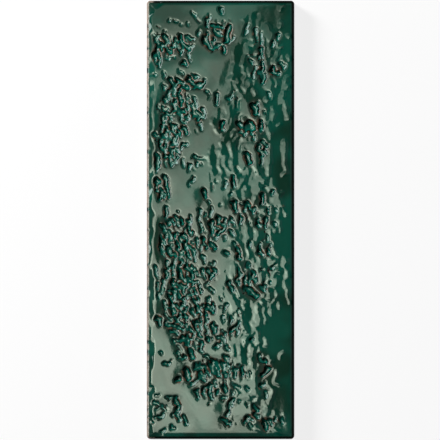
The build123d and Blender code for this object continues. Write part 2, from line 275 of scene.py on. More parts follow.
# The hollows of the face, hammered in by hand. Each runs from one point to another: x, y, x, y
# and its width, in millimetres from the middle of a face of 100 by 300.
hollows = {
    "layout": (100, 300),
    "depthShare": 0.4,
    "leastDepth": 0.45,
    "mostDepth": 1.7,
    "undercut": 0.13,
    "taper": 0.5,
    "middleShare": 0.01,
    "ball": {"segments": 20, "ring_count": 12},
}
hollows["top"] = [
    (-34.5, 137, -33.8, 136.6, 2.2), (-31, 136, -29.3, 135.4, 2.2), (-17.8, 141.2, -16.8, 138.3, 2.6),
    (0.7, 144, 0.9, 141.2, 2.8), (-9.6, 138, -8.8, 132, 3.2), (-5.5, 133.3, 1.5, 131.3, 3.4),
    (-4.6, 129.2, 2.3, 125.7, 3), (5.2, 131.3, 4, 121.5, 4.6), (8.8, 125.5, 5.2, 119.5, 2.6),
    (2.2, 117.5, 2.6, 113.5, 3.6), (-10.3, 123.5, -7.5, 117.5, 4.4), (-6, 116, 1.3, 120, 2.8),
    (-45, 125.4, -40.5, 125.2, 2.4), (-42.8, 122.8, -42.2, 117.5, 3.4), (-43.7, 116, -44.6, 108.5, 3.6),
    (-42.5, 106.8, -39.5, 109, 2.4), (-37.5, 124, -36.5, 117, 3.8), (-33.3, 124.8, -33.3, 118.5, 2.4),
    (-27.2, 124.3, -25, 119.2, 4.6), (-22.6, 124.4, -18.4, 122.6, 3), (-25.5, 117.4, -18.5, 119.6, 2.6),
    (-21.4, 116.6, -21.2, 108, 2.4), (-25.3, 107.3, -22.8, 104.5, 3.2), (-45.2, 99, -43.5, 98.2, 2.6),
    (-37.5, 129.3, -37.4, 128.7, 2.2), (-7.5, 139.5, -9.3, 136.5, 2.4), (-15.6, 129.5, -14.8, 125.5, 2.2),
    (-37, 109.8, -31, 111, 2.2), (-30, 121, -31, 118, 3), (27, 127.5, 28, 120.5, 2.6),
    (35.2, 121.5, 35, 117, 2.4), (37.5, 101, 40, 98, 3), (24, 104, 21.5, 98, 2.6), (26, 102, 27, 97, 2.4),
    (17, 126, 18.5, 134, 2.5), (23.5, 131, 24.5, 123, 2.6), (-26.5, 133.6, -26.4, 133, 1.6),
    (-21.5, 133.4, -21.4, 132.4, 2), (-42, 132.4, -41.8, 131.6, 1.5), (6.5, 136.6, 6.7, 136.2, 1.2),
    (-1.5, 135.5, -1.5, 134.5, 1.5), (1.5, 135.5, 2, 134, 1.8), (-15.6, 137.3, -13.6, 133.8, 1.8),
    (-27, 101.8, -25, 99.3, 1.8), (-38.6, 101.5, -36.8, 96.5, 2), (-16, 97, -18.5, 99.5, 3),
    (33.8, 109.5, 32.8, 100, 1.4), (-5.4, 121.5, -5, 118.5, 2.6), (-40.6, 122.5, -40.4, 117.5, 2.2),
    (-36.8, 114.5, -36.6, 111, 2.2), (-22.8, 121.8, -21.8, 120.6, 2.2),
]
hollows["upper"] = [
    (-21.5, 95.5, -15.5, 91.8, 5.4), (-12.6, 92.2, -10.4, 95.4, 3.4), (-34.5, 96, -31.5, 91.5, 3.2),
    (-28, 84.2, -26, 79, 4.4), (-36.6, 85.5, -37, 79.5, 3), (-27.5, 75.2, -26.6, 69.4, 2.8),
    (-22.9, 76.4, -21.6, 71.6, 2.6), (-25.4, 67.2, -21.2, 68.6, 2.8), (-18.4, 82.4, -16.4, 77, 3),
    (-16.2, 72.6, -13.6, 69.2, 5.2), (-14.6, 65.8, -13.6, 61.2, 2.4), (-39.6, 70, -38.4, 66.4, 3.4),
    (-31.2, 64.2, -28.4, 61.4, 3.2), (-44.3, 58.6, -42, 56.2, 3), (-36.6, 57, -37, 52.4, 2.8),
    (-24.4, 52, -26.6, 47.6, 2.8), (-39.4, 49, -37.6, 45.6, 3.6), (-43, 44, -42.2, 33.5, 3.4),
    (-17.6, 43, -13.6, 41.4, 2.6), (-2.5, 86.4, -2, 79.2, 3.2), (8.3, 87.4, 4.8, 82.2, 2.4),
    (1.6, 66.4, 0.8, 62.4, 4), (22.6, 78.8, 24.8, 72.4, 6.6), (12.6, 66.4, 14.2, 63.4, 4.2),
    (17.8, 65.6, 16.8, 58.6, 2.8), (27.2, 66, 28, 60.2, 4), (29, 52.6, 31.6, 49.6, 3.6),
    (26.2, 49.2, 28.4, 43.6, 4), (17.6, 43.8, 20.4, 37.4, 4.4), (26.8, 118, 28, 109.4, 3.6),
    (28.6, 106.4, 29, 92.6, 3.4), (38.3, 127, 38.5, 123.2, 3), (40.6, 107.4, 42.6, 101.8, 2.8),
    (20.6, 108.4, 22, 105, 3), (-13, 92, -18, 89.5, 3), (-33, 90, -35, 86, 3), (-38, 92, -38.5, 89, 2.2),
    (-33.5, 81, -31, 78.5, 2.6), (-42.5, 77.5, -40, 74, 2.4), (-38, 76, -37, 72, 2.6),
    (-31, 75.5, -33, 71.5, 2.8), (-18.5, 76, -17.3, 71, 3), (-11.6, 76, -11.8, 70, 2.6),
    (-37.5, 63, -35, 60, 3), (-28, 60, -27, 57, 2.6), (-33, 60.5, -33.5, 58, 2.4),
    (-25, 62, -21.5, 60.5, 2.4), (-40, 57, -39, 53, 2.6), (-31, 56, -32, 52, 2.2),
    (-29.5, 49, -27.5, 44, 2.8), (-33.5, 43, -35, 39, 2.4), (-37, 38.5, -36.5, 35.5, 2.6),
    (13.5, 60, 16, 57, 3), (21, 64, 20.5, 58, 3), (22, 57, 23, 54.5, 2.4), (27.5, 42, 28, 36, 2.4),
    (32, 86, 33, 83, 2.6), (-24, 72, -23, 70.5, 2), (-16.8, 61, -15.8, 59, 1.4),
    (-43.5, 48.8, -43.4, 48.2, 1.8), (-31.5, 39, -32.5, 36.5, 2), (-25.5, 41, -24.5, 35.5, 1.8),
    (-12.5, 42.5, -10.5, 41.5, 1.6), (-14.5, 39.5, -12.5, 38, 1.8), (-16.8, 39.5, -16.2, 36, 2),
    (-18.5, 35, -17.5, 33.5, 1.6), (-9.5, 88.5, -7.3, 85.5, 2), (-7.2, 84.5, -7.4, 82, 1.2),
    (10.5, 88, 10.3, 80, 1.6), (-22.8, 84.5, -23, 79.5, 2.6), (-31.4, 88, -31.2, 84.5, 2.4),
    (-26, 91.5, -21, 90, 3.6), (-30, 59, -29.8, 52.5, 2.6), (-33.6, 56.5, -33.4, 51.5, 2.4),
    (-34.8, 48.5, -33.8, 44.5, 3), (-16.6, 39.5, -15.8, 36, 3), (-26.4, 40.5, -25.2, 36, 2.4),
    (-30.6, 41, -29.6, 38.5, 2.4), (-20.5, 38, -21.5, 34.5, 2.6),
]
hollows["middle"] = [
    (-42.5, 28, -43, 20.5, 4.4), (-40.4, 18.6, -41, 13.2, 4), (-36.4, 8, -37, 1.4, 3),
    (-19, 28, -20.4, 23.6, 2.6), (-11.4, 19.4, -9.6, 15.8, 4.4), (-6.2, 9, -7, 2.6, 2.4),
    (-13.8, 7.4, -14.4, 5.2, 2.6), (-20, 2, -21.4, -3, 2.6), (-6.6, -1.2, -5.6, -9.2, 5.4),
    (-1.4, 0.6, -1, -2.8, 4.4), (2.7, 1, 3.8, -4, 3), (-2.4, -9.4, 2.2, -6.2, 4), (9, 12, 10.8, 6.2, 4.8),
    (17.4, 11, 16, 5.6, 3.6), (22.6, 9, 21.2, 4.2, 3.2), (14, 0.4, 13.2, -3.4, 3.2),
    (24.6, -1, 26.4, -6, 3.4), (30.5, 0.4, 30.2, -6, 3.4), (27.6, 18, 28.4, 11.2, 4),
    (-6, -17.2, -3.4, -20, 4.4), (-37, -35, -36, -40, 3.6), (-9, -34.8, -8, -37.4, 3.4),
    (-35.8, -47.2, -33.6, -46.2, 3), (-8.8, -59.8, -5.2, -63.2, 5.4), (-42.2, -67.8, -41.2, -72, 4),
    (-35.8, -71.6, -29.4, -72.4, 3.4), (-24, -71, -22.6, -76.8, 2.8), (-5, -72.4, -4.4, -75.6, 4.2),
    (7.2, -76.2, 9.6, -73.4, 5.4), (17.4, -47.2, 24.6, -52, 6.6), (12.4, -34.2, 11.6, -43.6, 3.2),
    (22, -81.6, 21, -84, 3.2), (-38, 30, -35, 14, 3.5), (-7.4, 12.7, -7.2, 12, 2.6),
    (-10.1, 2.9, -9.9, 2.2, 2.4), (-28.9, 5.9, -28.7, 5.2, 2.2), (-14.5, 3, -15, -1, 2.4),
    (-29, 1, -30, -3, 2.8), (2.5, 21.5, 4, 26, 2.4), (7.7, 17.9, 7.9, 17.2, 3), (9, 24, 8, 30, 3.6),
    (36, 20, 34, 17, 3), (36.5, 8, 37.5, 6, 2.4), (7.5, 0, 9.5, -5, 2.8), (6.5, -7, 9, -10.5, 3),
    (3, -22, 5.5, -24, 3.6), (9.5, -17, 10, -19, 2.6), (-44, -33, -43, -39, 3),
    (-16.5, -36, -15.5, -39, 2.6), (-7, -46.5, -4.5, -50, 2.8), (-18, -56, -16, -60, 3),
    (-17.5, -72, -14, -78, 3), (11, -72, 11.5, -79, 3), (-22, -84, -19, -82, 4), (-33, -77, -30, -78, 3),
    (27.4, -33.9, 27.6, -33.2, 2.4), (34.5, -33, 36, -31, 2.6), (-40, -4, -38.5, -8, 2.4),
    (-31, -9.5, -30.5, -14, 2.6), (-27.5, -12, -26, -16.5, 2.4), (-24, -13, -23, -20, 4),
    (-38, -13, -37.5, -18, 2.4), (-30, -18.5, -27.5, -20, 2.2), (-22, -24, -20.5, -27.5, 3),
    (-16, -13, -15.5, -20, 3), (-36, -22, -34, -25, 2.6), (-28, -25, -26, -29, 2.8),
    (-12.5, -24.5, -11, -28, 2.6), (11.6, -20, 12.8, -27, 3.8), (20, -15, 20.6, -20, 2.6),
    (26, -20, 29, -24, 2.4), (31, -12, 34, -17, 2.4), (31, -20, 33.5, -24, 2.4), (36, -2, 36.5, -6, 2.4),
    (-36.2, -29, -35.6, -32, 2.8), (-28.6, -34, -28.2, -32.4, 2.2), (-20.5, -33, -18, -35, 2.4),
    (-21, -36.5, -19, -39.5, 2.6), (-12, -35, -11.5, -39, 3), (-23.5, -40, -21, -43, 2.4),
    (-31, -45.5, -28, -44.5, 2.4), (-26, -44.5, -24, -46.5, 2.2), (-20.5, -49.5, -17.5, -51, 2.6),
    (-24, -52, -21.5, -54.5, 2.6), (-30, -51.5, -27.5, -54, 2.4), (-36, -50.5, -33, -51.5, 2.4),
    (-42.5, -43.5, -42, -47, 2.4), (-41.5, -50, -42, -54, 2.6), (-38, -56.5, -36.5, -60, 2.6),
    (-33.5, -55.5, -31, -58.5, 2.6), (-25.5, -57.5, -23.5, -61.5, 2.6), (-20, -64, -17, -64.8, 2.4),
    (-28.5, -66.5, -26, -68, 2.4), (-37, -64.5, -34.5, -67, 2.4), (-26, -81, -24.5, -84, 3),
    (-15, -82, -12.5, -84, 2.6), (-9, -79.5, -8, -83, 2.6), (1, -81.5, 3, -84.5, 2.6),
    (4, -86, 6, -88.5, 2.6), (-9, -67.5, -8.5, -70.5, 2.4), (2.5, -66.5, 2.8, -70, 2.6),
    (7, -67, 7.5, -71, 2.6), (19.5, -41.5, 20, -45, 3), (27, -46, 30, -48.5, 2.6),
    (18.4, -30, 18.6, -33, 2.4), (22, -36, 24.5, -42, 3.4), (5.5, -44, 8.5, -49, 3.4),
    (-5.5, 24, -5.5, 20, 1.6), (0.5, 9.3, 0.5, 8.7, 2), (-2.5, 25.9, -2.5, 25.2, 1.8),
    (13, -65, 12, -62, 1.6), (-21.5, -3.5, -21, -9, 3), (-13.6, -2, -12.2, -9, 2.6),
    (-36.5, -7, -32.6, -15.5, 2.6), (-27.5, -20.5, -24, -24.5, 2.4), (-19.3, -8, -19.6, -14, 2.4),
    (-18.4, -21, -17, -27, 2.8), (-13, -18, -12.8, -22.5, 2.4), (2.6, -11, 3.2, -13.5, 2.6),
    (-7, -30.5, -3.5, -29.5, 2.4), (-32, -29, -31.8, -38, 2.6), (-24.2, -30.8, -22.8, -33, 2.2),
    (-39, -42, -39.4, -50, 2.6), (-29.3, -47.5, -29, -49, 2.4), (-35.5, -59.5, -31.5, -63.5, 2.6),
    (-14, -60, -13.5, -65, 2.6), (-9.8, -45.8, -8.2, -43, 2.2), (-7.6, -52.5, -8.5, -56, 2.4),
    (1.6, -62, 4.8, -58.2, 2.4), (-34, -18.5, -32.4, -22, 2.4), (-40.6, -9, -40.8, -13, 2.2),
    (-3.8, -87.6, 0.5, -85.4, 2.8), (-21.5, -85.5, -20, -89, 2.6), (-17, -84.5, -16.6, -88.5, 2.4),
    (-13.6, -70, -12.6, -74.5, 3.2), (-9.5, -73, -9.2, -77, 2.4),
]
hollows["bottom"] = [
    (-37.8, -97.5, -34.6, -98.4, 2.8), (-29.8, -108.6, -27.4, -109.4, 4.2), (-23, -103, -21.6, -109.6, 4.8),
    (-19.8, -111.8, -15.2, -108.4, 2.6), (-29.6, -123, -29.2, -129, 3.4),
    (-28.6, -131.6, -28.6, -137.2, 2.8), (-24.4, -136, -22.2, -139.4, 3.2), (-43.4, -135, -39, -133.6, 2.6),
    (-32.5, -141, -32.5, -143.6, 2.6), (-16, -117.2, -15.6, -121.8, 4), (-7.4, -113, -6, -121.8, 3.8),
    (-4.8, -99.4, -1.2, -106.6, 6.8), (2.2, -101, 3.6, -107, 4), (-14, -107, -10.2, -109.8, 3.6),
    (2.6, -113.6, 3.4, -117.4, 4.2), (1, -120.8, 4, -121.5, 3), (8.4, -123.2, 6.2, -127.8, 3.4),
    (14.6, -101.2, 15, -106, 4), (5.4, -130.2, 4.6, -134, 3.2), (1.6, -136.6, 6.4, -139.4, 3.6),
    (17, -137, 21, -136.2, 3.6), (23, -128.2, 25.4, -130.4, 4), (29.8, -138.6, 31, -142.4, 4.8),
    (29, -96.2, 31, -99, 4), (-38, -121.5, -29, -121.8, 2.2), (-45, -124.5, -41.5, -126.5, 2.4),
    (-44, -129, -39, -126, 2.2), (-32.1, -132.4, -31.9, -131.7, 2.8), (-40, -145.5, -37, -143.5, 2.2),
    (-12, -118, -10, -122, 2.4), (-4.5, -110, -4, -114, 2.8), (-12, -101, -17, -98, 3.6),
    (-2.1, -117.9, -1.9, -117.2, 3.6), (12.4, -123.9, 12.6, -123.2, 2.4), (18.5, -115.5, 17, -113, 2.4),
    (19.4, -104.9, 19.6, -104.2, 2.4), (19, -140, 22, -142, 2.4), (32, -103, 28, -107, 4),
    (33.5, -136, 34.5, -139, 3.4), (27.5, -113, 30, -111, 3), (-29, -87, -26.5, -90, 2.8),
    (-14, -88, -11.5, -90.5, 2.6), (-20.5, -91.5, -18.5, -95, 2.6), (-9.5, -93, -7, -95.5, 2.6),
    (3, -92.5, 5, -96.5, 3), (8.5, -103.5, 9.5, -107.5, 2.6), (9.5, -112.5, 11.5, -115, 2.6),
    (26.5, -92, 27, -97, 3), (24, -133, 26, -136, 3), (31, -117.5, 30.5, -121.5, 2.6),
    (40.5, -135.5, 42, -138.5, 2.6), (-40.5, -90.5, -39.5, -92, 2.2), (-33, -97.3, -33, -96.7, 1.8),
    (-28.5, -105.9, -28.4, -105.5, 1.6), (-44, -121, -41, -120, 2), (-41, -136.5, -38, -134, 1.8),
    (-39, -132, -34.5, -130, 1.8), (-46.5, -138.8, -46.4, -138.2, 2), (-7, -126.2, -7, -125.8, 1.8),
    (18, -126.8, 18, -126.2, 1.8), (-28.8, -92, -28.2, -96, 2.6), (-14.5, -103, -11.5, -106, 2.6),
    (5.4, -97.5, 5.8, -101.5, 2.4),
]


# Patches that lean a little to the left, so that they mirror the pale panel overhead, and a few on the
# left that lean to the right and stay dark. Each row: the middle of the patch's lean, then a run and its
# width as for the hollows.
patches = {
    "disc": {"vertices": 16, "fill_type": "NGON"},
}
patches["pale"] = [
    (41, 39.6, 144, 42.4, 147.6, 1.8), (40.5, 40.2, 131, 41, 133.5, 2), (46, 45.7, 124, 46.2, 126.5, 1.4),
    (46.4, 46, 111.5, 46.8, 108.5, 1.6), (31, 30, 131, 33, 126, 6), (29, 26.5, 129, 28, 124, 1.6),
    (29, 28.4, 124, 29.5, 110, 1.8), (33, 33, 119, 34, 114, 3.5), (37.5, 38, 124, 38.5, 120, 2.5),
    (37.5, 36.5, 113, 37, 104, 4.5), (31.5, 31, 108, 31.5, 92, 3.2), (31.5, 33, 98, 33.3, 89, 3.5),
    (37.5, 38.5, 103, 36, 98.5, 2.5), (38.5, 41.5, 118, 37, 112, 1.8), (36.5, 36, 96, 38, 93, 3),
    (19, 17, 119, 19, 113, 2.5), (21, 20, 120, 23, 120.5, 2.5), (20.5, 19, 131, 21.5, 124, 2.6),
    (24.5, 23.5, 111.5, 27, 116, 1.8), (25, 24, 108.5, 26, 105.5, 1.8), (24.5, 26, 105, 23.5, 101, 1.4),
    (23.5, 22.5, 98.5, 24, 96.5, 2.4), (22.3, 22, 96, 22.5, 93, 1.6), (19.5, 19, 103, 20, 99, 1.5),
    (14.5, 13, 105, 15.5, 108, 1.4), (11.8, 11, 97, 12.5, 94.5, 1.8), (19, 19, 95, 19.5, 92, 1.7),
    (17, 16, 91, 18, 89.5, 3), (22.4, 21.3, 91, 23.5, 86.5, 1.4), (45, 44, 97, 46.5, 97.5, 1.6),
    (43.7, 44, 96, 43, 91, 1.8), (44.5, 44.5, 93, 44.5, 89, 2), (42.5, 43, 90, 42.5, 86, 2.2),
    (42.5, 41.5, 84, 40.5, 79, 4), (42.5, 43, 80, 44, 76, 3), (44.8, 44, 75, 46, 69.5, 3),
    (39.5, 38.5, 64, 40.5, 65.5, 1.8), (43, 43, 53.5, 43, 47, 3.6), (43.3, 43.3, 46, 43.5, 38, 2.2),
    (44, 44, 38, 44.3, 34, 1.8), (42.5, 44, 34, 41, 29.5, 1.8), (35, 35, 88, 35, 84, 1.6),
    (31, 30, 83, 32, 81, 1.8), (34.5, 33, 80, 35.5, 84, 1.4), (29.5, 28.5, 79, 30, 73, 2),
    (29.5, 29.5, 76, 29.5, 69, 2.8), (35.5, 35, 77, 36, 75, 1.4), (35.2, 36, 73, 34.5, 67, 2.3),
    (32.5, 33.5, 66, 31.5, 64.5, 2), (32.5, 32, 62.5, 33, 60, 2.8), (29.7, 29, 62.5, 30.5, 63.5, 1.3),
    (33.8, 33.5, 58, 34, 55.5, 1.5), (19, 13.5, 85, 14, 77, 4.2), (19, 17, 80, 17, 74, 4.4),
    (19, 12, 83, 11.5, 76, 2.4), (19, 18, 74, 22, 70, 3.2), (19, 24, 68.5, 25, 63.5, 3),
    (19, 13, 71, 11, 66, 2.2), (19, 11, 66, 14, 62.5, 1.4), (19, 27, 62, 27.5, 59.5, 2),
    (19, 21, 57.5, 22.5, 55.5, 2), (19, 24.5, 59, 25, 53, 2.4), (19, 19, 51, 24, 49, 3.6),
    (19, 13.5, 54, 12, 48.5, 2.8), (19, 16.4, 54, 16.6, 53, 1.8), (19, 14.5, 48, 17, 46, 4.2),
    (19, 22, 47, 24, 42, 4.6), (19, 14.5, 44, 15, 37.5, 4.2), (19, 24, 42, 24, 35, 4.6),
    (19, 25, 35, 28, 28, 3), (9, 9.2, 85, 9, 78, 2.2), (5, 4, 80, 5, 72, 3), (5, 4.5, 70, 4, 64, 4.2),
    (7.3, 7.5, 70, 7, 66, 2), (8.2, 8, 60.5, 8.5, 58, 1.9), (2.5, 3.3, 42.5, 2.5, 38, 2.6),
    (7.5, 7.5, 40, 7, 36, 2.2), (5, 3.5, 35, 6, 34, 1.6), (8.5, 7.5, 36, 9, 30, 2.8),
    (19, 11, 36, 12.5, 34, 1.6), (19, 15, 33, 15.5, 31, 2.2), (32.5, 32.5, 46, 32, 44, 4.6),
    (32.5, 32.5, 42, 33.5, 40, 4), (32, 31.5, 40, 32.5, 31, 2.8), (30.7, 30.3, 54.5, 31, 53, 1.2),
    (33.5, 33, 51, 34, 49, 1.9), (28, 27, 51, 29.5, 48, 1.2), (6.2, 6.2, 52, 6.2, 49.5, 1.3),
    (12, 10, 30, 12.5, 26, 4.2), (14, 15, 29, 14, 25, 3.6), (5, 5, 27, 4.5, 22, 3),
    (6, 6.5, 24, 6, 18, 2.6), (25, 25, 29, 29, 27, 3), (25, 27, 29, 25, 25, 4), (25, 23.5, 24, 24, 20, 4),
    (25, 25.5, 24, 26, 16, 3.2), (17.7, 17, 22.5, 18.5, 21, 1.6), (36.5, 33, 26, 33.5, 22, 2.3),
    (36.5, 30.5, 22, 33, 16, 2), (36.5, 33, 17, 35, 13, 2.6), (36.5, 36, 24, 38, 19, 1.8),
    (36.5, 37.5, 19, 42, 17.5, 2.6), (36.5, 38, 15, 38, 11.5, 6), (36.5, 41, 13, 42, 9, 2.8),
    (43.7, 43.5, 7, 44, 3, 1.6), (39.5, 39.5, 9, 39.5, 3, 2.2), (23.2, 23, 14.5, 23.5, 12.5, 2.3),
    (29, 26.5, 8.5, 31, 6, 2.2), (32.5, 31, 6, 34, 9.5, 1.4), (32.7, 33.5, 5, 32, 0, 1.6),
    (36.5, 28.5, 10, 32, 9, 1.8), (39.7, 39, -1, 40.5, -7, 2.8), (38.7, 38, 0, 39, -3, 1.8),
    (33.5, 32.5, -1, 33.5, -7, 2.5), (35.5, 34, -5, 37, -7.5, 2.2), (25.5, 25, -4, 25.5, -12, 3.8),
    (24.5, 24, -6, 23.5, -10, 2.2), (18, 18, -6, 18.5, -13, 3.6), (17, 15, -6, 18, -6, 1.4),
    (15.5, 14, 4, 17, 0, 2.2), (15, 13, 5, 16.5, 5.5, 1.2), (18.5, 18.3, -17, 18.5, -23, 1.6),
    (7, 5, -10, 9, -13, 4.6), (10, 9, -6.5, 11, -11, 1.7), (5, 3, -9, 4, -12, 3),
    (5, 3, -18, 6, -19.5, 1.8), (8.5, 7, -21.5, 9, -24, 4.2), (10, 10, -22, 11, -25, 2.2),
    (11, 11, -16, 11, -17, 1.8), (11.6, 11.3, -27.5, 12, -29, 1.5), (21.8, 21.6, -29, 22, -29, 1.4),
    (33, 30.3, -11, 34, -17, 2), (36, 34, -17, 38.5, -23, 1.7), (25, 23, -19, 27, -26, 2.5),
    (29, 27, -18.5, 31, -22, 1.8), (31, 29, -21, 33, -26, 2.2), (26.3, 26, -27, 26.5, -31, 2.8),
    (33.5, 33, -22, 34, -26, 1.4), (43.4, 43.3, -27, 43.5, -31, 3.2), (35, 36.5, -28, 38, -30, 1.2),
    (35, 33, -31, 36, -29, 2.2), (8.5, 7.5, 5, 9.5, 7.5, 1.6), (44.5, 44.3, -34, 44.8, -38.5, 2.3),
    (8, 8.5, -31, 8.5, -38, 4.8), (7, 4.5, -37, 7, -38, 2.2), (9, 7.5, -42, 10.5, -47, 2.8),
    (9, 11, -47, 14, -52, 1.8), (9, 5, -49, 6.5, -53, 4.2), (9, 8, -55, 9.5, -60, 4.2),
    (9, 6.5, -60, 6.5, -63, 2.8), (9, 11, -61, 13, -63, 2.8), (13.5, 12, -66, 13, -70, 4.8),
    (13.5, 14.5, -71, 16.5, -76, 2.6), (13.5, 18, -80, 17, -84, 2.6), (26, 25, -34, 27, -42, 3.8),
    (25, 25, -31, 24.5, -35, 2.6), (27.5, 27, -43, 28, -44, 2.6), (35, 33, -31, 32, -38, 3),
    (35, 35, -38, 38, -36, 2.8), (35, 36, -41, 34, -44, 4.2), (35, 38.5, -42, 37, -45, 2.2),
    (35, 31, -41.5, 31, -43, 2.6), (35, 39, -35, 41, -34, 1.6), (44, 43, -42, 45, -46, 1.8),
    (45.5, 45, -46, 46, -52, 1.9), (46.5, 46.2, -52, 46.8, -56, 1.3), (30.2, 31.5, -47, 29, -51, 1.4),
    (33.2, 33, -50, 33.5, -53, 3.6), (32, 31, -53, 33, -54, 2.2), (37.7, 37.5, -50.3, 38, -51, 1.8),
    (36.5, 36.3, -53.5, 36.7, -53.5, 1.8), (35.5, 35.4, -57, 35.6, -57, 1.4),
    (39.8, 39.8, -58.3, 39.8, -59.7, 1.4), (24, 28, -56, 29.5, -58, 1.4), (33.2, 32, -60, 34.5, -64, 1.6),
    (34.5, 34, -58, 35, -63, 1.4), (24, 24.5, -58, 25, -62, 2.6), (24, 25, -66, 25.5, -70, 5),
    (24, 23.5, -75, 25, -82, 4.2), (24, 22, -73, 24, -76, 3.2), (24, 25.5, -82, 25.5, -85, 2.7),
    (19.5, 20, -78, 18, -81, 3.2), (30, 29.7, -63, 30.3, -68, 3.1), (30.4, 30.3, -82, 30.5, -86, 2.5),
    (24, 20, -70, 21, -73, 1.8), (24, 20, -58.3, 20.6, -58.3, 1.5), (21, 21, -87, 21, -91.5, 3.7),
    (12.7, 12.5, -86.5, 13, -90, 3.3), (26, 26, -89.2, 26, -90, 1.5), (41, 40, -94, 41.8, -89.5, 1.9),
    (19.3, 19, -43, 19.5, -45, 2.5), (19.2, 19, -31, 19.5, -34, 1.6), (13.5, 13.4, -36, 13.6, -37, 1.7),
    (13.5, 7, -69, 7, -71, 1.8), (8.5, 8, -88, 9, -92, 3.2), (20.8, 20.5, -97, 21, -103, 3.5),
    (26.5, 26.4, -93, 26.6, -93.5, 1.5), (33, 32.5, -96, 33.5, -99, 3.5),
    (34.3, 34, -96.3, 34.8, -96.6, 1.6), (37.3, 38, -104, 36.6, -107, 1.7), (37, 36.6, -107, 37, -112, 1.7),
    (37.8, 37, -112.5, 38.5, -112.5, 1.7), (18, 24, -104, 23, -108, 4.6), (18, 17, -111, 24, -112, 4.2),
    (18, 20, -115, 24, -118, 6), (18, 26.5, -115, 26, -120, 3.2), (18, 24.5, -121, 24.5, -125, 1.8),
    (18, 14, -121, 18, -121, 5.2), (18, 9, -117, 8, -120, 3.6), (18, 13, -116, 14, -118, 2.8),
    (18, 18, -105, 18.5, -106, 2.6), (18, 10, -130, 18, -129, 6), (18, 14, -133, 22, -131, 4.2),
    (18, 10, -136, 12, -137, 4.2), (32, 33.5, -121, 32, -127, 4.7), (30, 29, -124, 29.5, -129, 2.6),
    (34, 33.8, -117, 34, -119, 1.8), (31, 32, -129, 30, -134, 2), (30, 30, -117.7, 30, -119.3, 1.8),
    (30, 29.8, -111, 30.2, -112, 1.5), (34, 33, -114, 35, -116, 2.2), (29, 29, -103, 29, -104, 1.4),
    (37, 35.5, -132, 39, -136, 1.6), (35, 35, -134, 35, -139, 1.6), (36, 37, -138, 35, -141, 1.6),
    (42.4, 42.3, -133, 42.5, -136, 1.6), (37, 34, -143.5, 40, -145.5, 1.6), (18, 24, -138, 26.5, -137, 3),
    (24, 22, -140, 26, -143, 3), (18, 20.5, -134, 24, -135, 1.8),
]
patches["dark"] = [
    (4, 4.5, 60, 4, 46, 9), (0, -0.5, 48, 1, 45, 3), (4.5, 4.5, -40, 4, -46, 2.8),
    (2.5, 2, -48, 3, -53, 2.2), (18, 17, 138, 18, 128, 3.5), (22.5, 21.5, 139, 23, 132, 3),
    (20, 18, 139, 24, 139, 3), (2, 3, 30, 2.5, 27, 3), (-5, -5.5, 50, -3.5, 42, 2.5),
    (12, 12.5, 117, 11, 97, 8), (18, 17, 108, 21, 96, 6), (9.5, 9.5, 26, 9.5, 22, 3),
    (18.5, 18, -58, 19, -66, 6), (16.5, 16.5, -89, 16, -99, 6), (14.5, 14.5, -18, 15, -31, 5),
    (20.5, 19, 42, 20, 33, 4), (5, 7, 57, 8, 49, 5), (10.5, 12.5, -56, 14, -58, 4),
    (6.5, 3, -66, 9, -65, 3), (22, 23, -95, 24, -99, 3), (11, 9.5, 76, 8, 71, 2.4), (12, 12, 20, 13, 15, 4),
    (8, 7, 95.5, 9.5, 91.5, 3), (10, 13, 89.5, 9, 87, 3.4), (6, 8.5, 86.5, 4.5, 81.5, 2.2),
    (13, 12, 93, 14, 88, 4.5), (10.5, 11, 86, 10.5, 77, 1.8), (-1.5, -1.5, 84, -1, 66, 3.4),
    (2, 2.5, 76, 2, 70, 2.6), (9, 7.5, 77, 10.5, 70, 3.6), (-2, -4, 66, 1, 60, 4), (3, -1, 62, 8, 58, 5),
    (6, 5, 56, 8, 50, 6), (10.5, 9, 50, 12, 39, 5), (-4.5, -5, 43, -4, 34, 6.5), (0, -1, 44, 0, 37, 3),
    (1.5, 0, 36, 3, 32, 2.2), (-7.3, -7.5, 30, -7, 27.5, 2.4), (8, 7, 29, 10, 27, 3.6),
    (2, 1, 30, 3, 25, 3), (18.5, 17, 42, 20, 37, 3.6), (22, 21, 36, 23, 29, 3.6),
    (17.5, 18, 31, 17, 25, 4.6),
]


